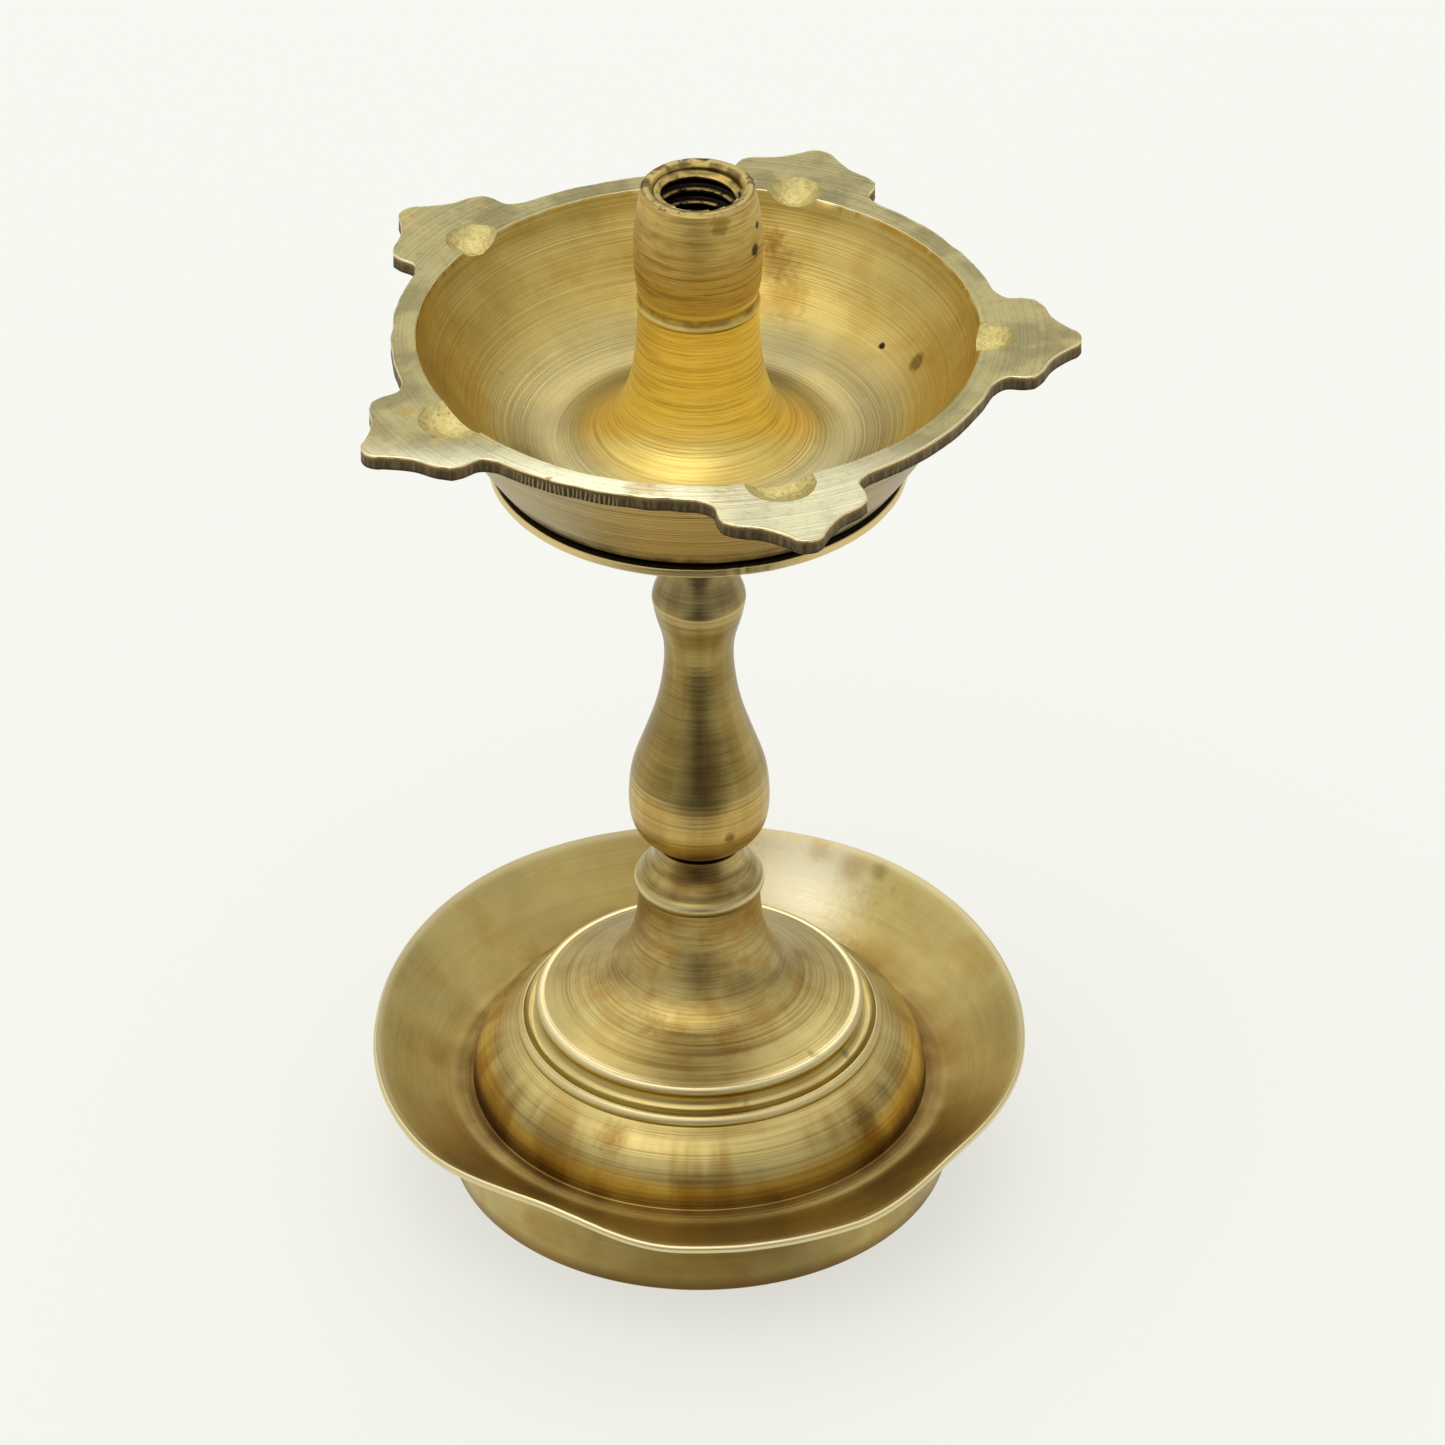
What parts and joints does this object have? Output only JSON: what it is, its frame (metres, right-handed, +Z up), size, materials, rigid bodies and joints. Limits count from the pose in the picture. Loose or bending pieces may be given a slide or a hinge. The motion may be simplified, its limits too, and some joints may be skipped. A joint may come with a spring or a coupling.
{
  "type": "pedestal oil lamp",
  "caption": "Small cast and turned brass oil lamp: a footed drip tray with a domed centre, a screwed-on baluster stem, and an oil dish with pointed wick spouts and a threaded centre socket.",
  "frame": {"origin": "on the lamp's axis, in the plane that the foot ring stands on", "axes": "+Z up the lamp's axis; -Y towards the side that the picture shows, +X to the picture's right"},
  "size_m": [0.1016, 0.1029, 0.165],
  "materials": {
    "base_brass": "cast and turned brass, dulled to an olive brown, with dark grime in the tray's channel",
    "stem_brass": "turned brass, satin, with fine lathe lines",
    "dish_brass": "turned brass, satin, brushed round the bowl and column, paler on the flat rim",
    "stud_brass": "machined brass"
  },
  "bodies": {
    "base": {"base": "base_brass"},
    "lower_stud": {"lower_stud": "stud_brass"},
    "stem": {"stem": "stem_brass"},
    "upper_stud": {"upper_stud": "stud_brass"},
    "dish": {"dish": "dish_brass"}
  },
  "joints": [
    {"name": "lower_stud_lift", "type": "slide", "parent": "base", "child": "lower_stud", "axis": [0, 0, 1], "range_m": [0, 0.00889]},
    {"name": "stem_turn", "type": "hinge", "parent": "lower_stud", "child": "stem", "pos_m": [0, 0, 0.0545], "axis": [0, 0, 1], "range_deg": [0, 2520]},
    {"name": "upper_stud_lift", "type": "slide", "parent": "stem", "child": "upper_stud", "axis": [0, 0, 1], "range_m": [0, 0.00889]},
    {"name": "dish_turn", "type": "hinge", "parent": "upper_stud", "child": "dish", "pos_m": [0, 0, 0.1174], "axis": [0, 0, 1], "range_deg": [0, 2520]}
  ],
  "couplings": [
    {"joint": "stem_turn", "follows": "lower_stud_lift", "rad_per_m": 4947.4},
    {"joint": "dish_turn", "follows": "upper_stud_lift", "rad_per_m": 4947.4}
  ]
}
